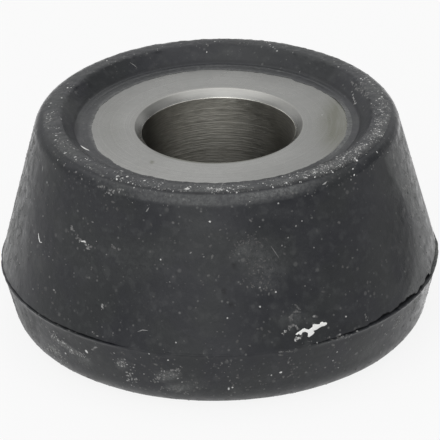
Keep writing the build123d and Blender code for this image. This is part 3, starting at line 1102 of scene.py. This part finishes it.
def scatter(heap, surface, names, density, dust_and_sheen, middle_reach, bright, dim):
    """Scatters flakes over some stretches, density of them to a square millimetre, more where dust and sheen
    are painted.

    The density and the share of bright flakes are given at some azimuths in degrees.
    """
    points, chance, count = surface.points, heap.chance, surface.points.shape[0]
    densities, brights = surface.around(density)[:, 0], surface.around(bright)[:, 0]
    for column in surface.columns(*names.split()):
        for i in range(count):
            corner = points[i, column]
            around_axis, along = points[(i + 1) % count, column] - corner, points[i, column + 1] - corner
            area = np.linalg.norm(np.cross(around_axis, along))
            broad, fine = noise.noise(Vector(corner) / 5.0), noise.noise(Vector(corner) / 1.5)
            crowd = max(0.1, 1 + CROWDED * broad + 0.7 * CROWDED * fine)
            if chance.random() > area * densities[i] * crowd * (1 + 8 * dust_and_sheen[i, column]):
                continue
            spot = corner + chance.random() * around_axis + chance.random() * along
            normal = Vector(surface.normals[i, column])
            swing = chance.uniform(0, math.pi)
            across = normal.orthogonal().normalized()
            direction = across * math.cos(swing) + normal.cross(across) * math.sin(swing)
            reach = min(max(middle_reach * math.exp(chance.gauss(0, 0.42)), SMALLEST_REACH), LARGEST_REACH)
            shades = BRIGHT_SHADES if chance.random() < brights[i] else dim
            shade = chance.uniform(*shades)
            heap.dome(Vector(spot), normal, direction, reach * chance.uniform(1.0, 1.8), reach, shade)


def crumble(heap, line, width, count, shades):
    """Scatters crumbs along a line of pixels, spread over a width in pixels."""
    line, chance = stretch(line, 0.5), heap.chance
    for _ in range(count):
        x, y = line[chance.randrange(len(line))]
        x, y = x + chance.gauss(0, width / 2), y + chance.gauss(0, width / 2)
        reach, shade = chance.uniform(0.45, 1.1), chance.uniform(*shades)
        heap.speck(x, y, reach, shade, chance.uniform(1.0, 1.8), chance.uniform(0, 180))


def scuff(heap, surface, names, middle, spread, count, shades):
    """Scatters narrow scuffs that run up the flank, around an azimuth in degrees."""
    columns, chance = surface.columns(*names.split()), heap.chance
    turns = surface.azimuth.shape[0]
    for _ in range(count):
        row = int(turns * ((middle + chance.gauss(0, spread)) % 360) / 360)
        column = int(chance.choice(columns))
        spot = Vector(surface.points[row, column])
        normal = Vector(surface.normals[row, column])
        upward = Vector(surface.points[row, column - 1]) - Vector(surface.points[row, column + 1])
        upward += normal.cross(upward) * chance.gauss(0, 0.5)
        reach = chance.uniform(0.06, 0.15)
        length = reach * chance.uniform(1.2, 4)
        heap.dome(spot, normal, upward.normalized(), length, reach, chance.uniform(*shades))


def make_flakes(rubber_surface, steel_surface):
    heap = Heap(random.Random(FLAKE_SEED), rubber_surface, steel_surface)
    dust_and_sheen = rubber_dust_and_sheen(rubber_surface)
    for names, density, use_dust_and_sheen, middle_reach, bright, dim in FLAKE_FIELDS:
        scatter(heap, rubber_surface, names, density, dust_and_sheen * use_dust_and_sheen, middle_reach, bright, dim)
    for trail in CRUMBS:
        crumble(heap, *trail)
    for speck in SPECKS:
        heap.speck(*speck)
    for sliver in SLIVERS:
        heap.sliver(*sliver)
    for field in SCUFFS:
        scuff(heap, rubber_surface, *field)
    heap.sheet(SCRAPE, SCRAPE_SHADE)
    return heap.mesh("talc_flakes")


# Materials

class Nodes:
    """Short calls for building a node tree. Sizes and depths are in millimetres."""

    def __init__(self, tree):
        self.tree = tree
        self.coordinates = self.new("TexCoord").outputs
        self.place = self.coordinates["Object"]

    def new(self, kind, *values, **settings):
        """A new node with its settings made and its first sockets fed."""
        node = self.tree.nodes.new("ShaderNode" + kind)
        for key, value in settings.items():
            setattr(node, key, value)
        for socket, value in zip(node.inputs, values):
            self.put(socket, value)
        return node

    def put(self, socket, value):
        """Links a socket, or sets it. A colour is given without its alpha."""
        if isinstance(value, bpy.types.NodeSocket):
            self.tree.links.new(value, socket)
        elif socket.type == "RGBA":
            socket.default_value = (*value, 1.0)
        else:
            socket.default_value = value

    def math(self, operation, *values, clamp=False):
        return self.new("Math", *values, operation=operation, use_clamp=clamp).outputs[0]

    def plus(self, first, second, clamp=False):
        return self.math("ADD", first, second, clamp=clamp)

    def minus(self, first, second):
        return self.math("SUBTRACT", first, second)

    def times(self, first, second, clamp=False):
        return self.math("MULTIPLY", first, second, clamp=clamp)

    def ramp(self, value, low, high, start=0.0, end=1.0):
        """Runs from start to end as the value goes from low to high, smoothly."""
        return self.new("MapRange", value, low, high, start, end, interpolation_type="SMOOTHSTEP").outputs[0]

    def noise(self, size, detail=2.0, place=None, roughness=0.5):
        """Noise from 0 to 1 with features of a size."""
        node = self.new("TexNoise", place or self.place)
        for name, value in (("Scale", 1 / (size * MM)), ("Detail", detail), ("Roughness", roughness)):
            self.put(node.inputs[name], value)
        return node.outputs[0]

    def cells(self, size):
        """Distance to the nearest of scattered points, in parts of a size, and that point's random colour."""
        node = self.new("TexVoronoi", self.place)
        self.put(node.inputs["Scale"], 1 / (size * MM))
        return node.outputs["Distance"], node.outputs["Color"]

    def mix(self, share, first, second):
        node = self.new("Mix", data_type="RGBA")
        for name, value in (("Factor", share), ("A", first), ("B", second)):
            self.put(node.inputs[name], value)
        return node.outputs["Result"]

    def split(self, vector):
        return self.new("SeparateXYZ", vector).outputs

    def join(self, x, y, z):
        return self.new("CombineXYZ", x, y, z).outputs[0]

    def painted(self, name):
        return self.new("Attribute", attribute_name=name).outputs["Fac"]

    def bump(self, height, depth, below=None):
        """A bump of a depth, over another one."""
        node = self.new("Bump")
        self.put(node.inputs["Height"], height)
        self.put(node.inputs["Distance"], depth * MM)
        if below:
            self.put(node.inputs["Normal"], below)
        return node.outputs[0]


def new_material(name):
    """A material, the calls for its nodes, and the sockets of its shader."""
    material = bpy.data.materials.new(name)
    material.use_nodes = True
    return material, Nodes(material.node_tree), material.node_tree.nodes["Principled BSDF"].inputs


def rubber_spots(n, size, crowd, faint, strong):
    """Soft round spots of dust, one to a cell of a size where the crowd allows it."""
    distance, chance = n.cells(size)
    pick = n.split(chance)
    spot = n.ramp(n.minus(distance, n.ramp(pick[1], 0.0, 1.0, 0.1, 0.24)), -0.12, 0.06, 1.0, 0.0)
    there = n.math("LESS_THAN", pick[0], crowd)
    return n.times(n.times(spot, there), n.ramp(pick[2], 0.0, 1.0, faint, strong))


def rubber_talc(n, dust_and_sheen, mottled):
    """How much talc hides the rubber: painted dust and sheen, a worn haze, fine crumbs and mottling."""
    worn = n.ramp(n.noise(3.2, detail=5, roughness=0.62), 0.44, 0.72, 0.0, 0.028)
    crumbs = n.ramp(n.noise(0.42, detail=3, roughness=0.7), 0.55, 0.78, 0.0, 0.05)
    film = n.times(crumbs, n.ramp(n.noise(4.5, detail=2), 0.3, 0.65, 0.35, 1.3))
    haze = n.times(dust_and_sheen, n.ramp(n.noise(0.45, detail=4, roughness=0.75), 0.32, 0.70, 0.4, 1.55))
    return n.plus(n.plus(haze, worn), n.plus(film, n.ramp(mottled, 0.5, 0.72, 0.0, 0.06)), clamp=True)


def rubber_material():
    material, n, shader = new_material("rubber_dusty")
    dust_and_sheen, grime_and_shade = n.painted("dust_and_sheen"), n.painted("grime_and_shade")
    mottled = n.noise(1.3, detail=3)
    # Talc from the painted dust, which carries painted sheen on the flank
    talc = rubber_talc(n, dust_and_sheen, mottled)
    clean = n.mix(n.ramp(n.noise(7.0, detail=3), 0.38, 0.62), *RUBBER_COLOURS)
    crowd = n.plus(n.ramp(n.noise(2.4, detail=2), 0.35, 0.7, 0.15, 0.7), n.times(dust_and_sheen, 0.8))
    small, large = rubber_spots(n, 0.8, crowd, 0.04, 0.18), rubber_spots(n, 1.4, crowd, 0.02, 0.10)
    speckled = n.mix(n.math("MAXIMUM", small, large), n.mix(talc, clean, TALC_COLOUR), GRAIN_COLOUR)
    dull = n.plus(n.times(talc, 0.6), n.times(grime_and_shade, 0.3))
    ripple = n.bump(n.noise(0.9, detail=3), 0.035)
    # The base colour darkens with grime and with painted shade
    n.put(shader["Base Color"], n.mix(grime_and_shade, speckled, GRIME_AND_SHADE_COLOUR))
    n.put(shader["Specular IOR Level"], RUBBER_GLOSS)
    n.put(shader["Roughness"], n.plus(n.ramp(mottled, 0.3, 0.7, 0.28, 0.40), dull, clamp=True))
    n.put(shader["Normal"], n.bump(n.noise(0.2, detail=2), 0.012, ripple))
    return material


def flake_material():
    material, n, shader = new_material("talc")
    n.put(shader["Base Color"], n.mix(n.painted("shade"), *FLAKE_COLOURS))
    n.put(shader["Roughness"], 0.6)
    return material


def steel_face_colour(n, lines, rings):
    """The sleeve's face: mottled, with painted highlight, dullness and painted shade where painted, turning
    lines and stains.
    """
    mottle = n.noise(0.9, detail=4, roughness=0.6)
    plain = n.mix(n.ramp(mottle, 0.3, 0.7), *STEEL_COLOURS)
    # Painted highlight on the chamfer, then dullness on the face and painted shade on the chamfer
    plain = n.mix(n.painted("highlight_and_blur"), plain, HIGHLIGHT_COLOUR)
    plain = n.mix(n.painted("dull"), plain, DULL_AND_SHADE_COLOUR)
    lined = n.mix(n.ramp(lines, 0.3, 0.7, 0.25, 0.0), plain, LINE_COLOUR)
    # Stains on the face, and painted shade on the chamfer's near side
    stain_and_shade = n.times(n.painted("stain_and_shade"), n.ramp(rings, 0.3, 0.7, 0.7, 1.2), clamp=True)
    return n.mix(stain_and_shade, lined, STAIN_AND_SHADE_COLOUR)


def bore_colour(n, z, turn):
    """The bore's wall: fine marks around it, painted shade towards its middle and where it is painted shaded.
    """
    marks = n.noise(0.2, detail=3, place=n.join(turn, 0.0, z), roughness=0.6)
    depth = n.math("ABSOLUTE", n.minus(z, MIDDLE_HEIGHT * MM))
    bored = n.mix(n.ramp(marks, 0.3, 0.7), *BORE_COLOURS)
    # Painted shade towards the middle of the bore
    bored = n.mix(n.ramp(depth, 2 * MM, 12 * MM, 0.78, 0.0), bored, DEEP_SHADE_COLOUR)
    return n.mix(n.painted("shaded"), bored, SHADED_COLOUR)


def steel_material():
    material, n, shader = new_material("steel_turned")
    x, y, z = n.split(n.place)[0:3]
    x = n.minus(x, BORE_OFFSET * MM)
    radius = n.math("SQRT", n.plus(n.times(x, x), n.times(y, y)))
    wobble = n.times(n.noise(3.0, detail=1), 0.0003)
    lines = n.noise(0.16, detail=3, place=n.join(n.plus(radius, wobble), z, 0.0))
    turn = n.times(n.math("ARCTAN2", x, y), 1.2 * MM)
    rings = n.noise(0.5, detail=3, place=n.join(radius, turn, 0.0), roughness=0.6)
    in_bore = n.math("LESS_THAN", radius, (BORE_RADIUS + 0.06) * MM)
    face, bore = steel_face_colour(n, lines, rings), bore_colour(n, z, turn)
    blur = n.plus(n.times(in_bore, 0.08), n.times(n.painted("highlight_and_blur"), 0.12))
    drift = n.ramp(n.noise(5.0, detail=2), 0.3, 0.7, 0.24, 0.30)
    n.put(shader["Base Color"], n.mix(in_bore, face, bore))
    n.put(shader["Metallic"], 1.0)
    n.put(shader["Roughness"], n.plus(drift, blur))
    n.put(shader["Normal"], n.bump(n.times(lines, n.plus(0.3, n.times(in_bore, 1.7))), 0.02))
    return material


# The studio

def dark_room(n, x, y, z, behind_level):
    """How bright gloss finds the room in a level direction.

    It is even in front and on the left, uneven on the right and dark there towards the back.
    """
    even = n.ramp(y, -0.5, 0.1, FRONT_LEVEL, SIDE_LEVEL)
    right = n.ramp(y, 0.1, 0.4, n.ramp(z, 0.12, 0.3, *RIGHT_FRONT_SHADES), RIGHT_SHADE)
    lit = n.times(even, n.ramp(x, 0.4, 0.75, 1.0, right))
    side = n.minus(y, n.times(x, 0.25))
    start = n.minus(BACK_EDGE - 0.08, n.ramp(z, 0.15, 0.4, 0.0, 0.3))
    behind = n.ramp(side, start, BACK_EDGE + 0.08)
    return n.plus(n.times(lit, n.minus(1.0, behind)), n.times(behind, behind_level))


def floor_level(n):
    """How bright gloss finds the floor: brighter behind on both sides, dark past an edge on the right."""
    x, y, _ = n.split(n.place)
    outer = n.minus(n.minus(x, FLOOR_RIGHT_EDGE * MM), n.ramp(y, 36 * MM, 56 * MM, 0.0, 40 * MM))
    behind = n.ramp(y, -12 * MM, 4 * MM)
    right = n.times(n.ramp(outer, -28 * MM, 2 * MM, 1.0, 0.0), n.times(behind, n.ramp(x, 0.0, 40 * MM)))
    beyond = n.ramp(outer, 20 * MM, 60 * MM, FLOOR_RIGHT_SHADE, 0.0)
    strip = n.times(n.ramp(outer, -6 * MM, 2 * MM, 0.0, behind), beyond)
    near_left = n.times(n.ramp(x, 0.0, -40 * MM), n.ramp(x, -52 * MM, -85 * MM, 1.0, -0.35))
    left = n.times(n.ramp(y, 0.0, 40 * MM), near_left)
    bright = n.plus(n.times(right, FLOOR_RIGHT_GAIN), n.times(left, FLOOR_LEFT_GAIN))
    far_left = n.times(n.ramp(x, -0.1, -0.4, 0.0, FLOOR_FAR_LEFT_GAIN), n.ramp(y, 0.0, -0.1))
    return n.minus(n.plus(n.plus(FLOOR_EVEN, bright), far_left), strip)


def make_floor():
    """White paper with the part's shadow, lit almost evenly to the camera, and by floor_level to gloss."""
    mesh = bpy.data.meshes.new("floor")
    corners = [(x * FLOOR_SIZE, y * FLOOR_SIZE, 0) for x, y in ((-1, -1), (1, -1), (1, 1), (-1, 1))]
    mesh.from_pydata(corners, [], [(0, 1, 2, 3)])
    floor = add_object("floor", mesh)
    material = bpy.data.materials.new("floor_paper")
    material.use_nodes = True
    material.node_tree.nodes.clear()
    n = Nodes(material.node_tree)
    path = n.new("LightPath")
    seen, mirrored = path.outputs["Is Camera Ray"], path.outputs["Is Glossy Ray"]
    strength = n.math("MAXIMUM", seen, n.times(mirrored, floor_level(n)))
    paper, glow = n.new("BsdfDiffuse", PAPER_COLOUR), n.new("Emission", WHITE, strength)
    share = n.math("MAXIMUM", n.times(seen, FLOOR_SEEN), mirrored)
    n.new("OutputMaterial", n.new("MixShader", share, paper.outputs[0], glow.outputs[0]).outputs[0])
    mesh.materials.append(material)
    floor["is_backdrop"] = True


def make_world():
    """A photo tent: white to the camera, bright behind and above, and in front a dark room for gloss."""
    world = bpy.data.worlds.new("studio")
    bpy.context.scene.world = world
    world.use_nodes = True
    n = Nodes(world.node_tree)
    direction = n.coordinates["Generated"]
    x, y, z = n.split(direction)
    back = n.ramp(z, 0.05, 0.4, n.ramp(x, -0.3, 0.3, *BACK_LOW_LEVELS), BACK_LEVEL)
    aside = n.ramp(n.math("ABSOLUTE", x), 0.3, 0.65, 0.0, 0.22)
    ceiling = n.ramp(n.minus(z, aside), 0.15, 0.5, 0.0, CEILING_LEVEL)
    room = n.math("MAXIMUM", dark_room(n, x, y, z, back), ceiling)
    ambient = n.ramp(y, -0.6, 0.6, AMBIENT_FRONT, AMBIENT_BEHIND)
    facing = n.new("VectorMath", direction, WINDOW_DIRECTION, operation="DOT_PRODUCT")
    window = n.ramp(facing.outputs["Value"], 0.82, 0.95, 0.0, WINDOW_LEVEL)
    path = n.new("LightPath").outputs
    clear = n.math("MAXIMUM", path["Is Camera Ray"], path["Is Transmission Ray"])
    level = n.new("MapRange", path["Is Diffuse Ray"], 0.0, 1.0, n.plus(room, window), n.plus(ambient, window))
    background = world.node_tree.nodes["Background"].inputs
    n.put(background["Strength"], n.math("MAXIMUM", level.outputs[0], clear))
    n.put(background["Color"], WHITE)


def make_light():
    data = bpy.data.lights.new("top_softbox", "AREA")
    data.shape = "SQUARE"
    data.size, data.energy = SOFTBOX_SIDE, SOFTBOX_POWER
    light = add_object("top_softbox", data)
    light.location = Vector(SOFTBOX_PLACE) * MM
    aim = Vector(SOFTBOX_AIM) - Vector(SOFTBOX_PLACE)
    light.rotation_euler = aim.to_track_quat("-Z", "Y").to_euler()


# Building the scene

make_camera()
make_world()
make_floor()
make_light()

rubber, rubber_surface = make_rubber()
# Dust on the rubber, with painted sheen on the flank and a painted reflection on its right
paint(rubber, "dust_and_sheen", rubber_dust_and_sheen(rubber_surface))
# Grime on the rubber, and painted shade in its crease, its corner and along the crest
paint(rubber, "grime_and_shade", rubber_grime_and_shade(rubber_surface))
rubber.data.materials.append(rubber_material())
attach(rubber, "root")
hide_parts("rubber_body")

steel, steel_surface = make_steel()
# Painted shade on the bore's sides
bore_shade = np.broadcast_to(steel_surface.around(BORE_SHADED), steel_surface.azimuth.shape)
# Stains on the face, and painted shade on the chamfer's near side
paint(steel, "stain_and_shade", steel_stain_and_shade(steel_surface))
# Dullness on the face, and painted shade on the chamfer
paint(steel, "dull", steel_dullness_and_shade(steel_surface))
# Painted highlight on the chamfer, which also makes it rougher
paint(steel, "highlight_and_blur", mouth_paint(steel_surface, HIGHLIGHTED_MOUTH))
paint(steel, "shaded", bore_shade)
steel.data.materials.append(steel_material())
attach(steel, "root")
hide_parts("inner_sleeve")

flakes = make_flakes(rubber_surface, steel_surface)
flakes.data.materials.append(flake_material())
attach(flakes, "root")

bpy.context.scene.view_settings.view_transform = "Standard"
boxes = {"cad": cad_box, "visual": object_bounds()}
{name: [list(corner) for corner in box] for name, box in boxes.items()}
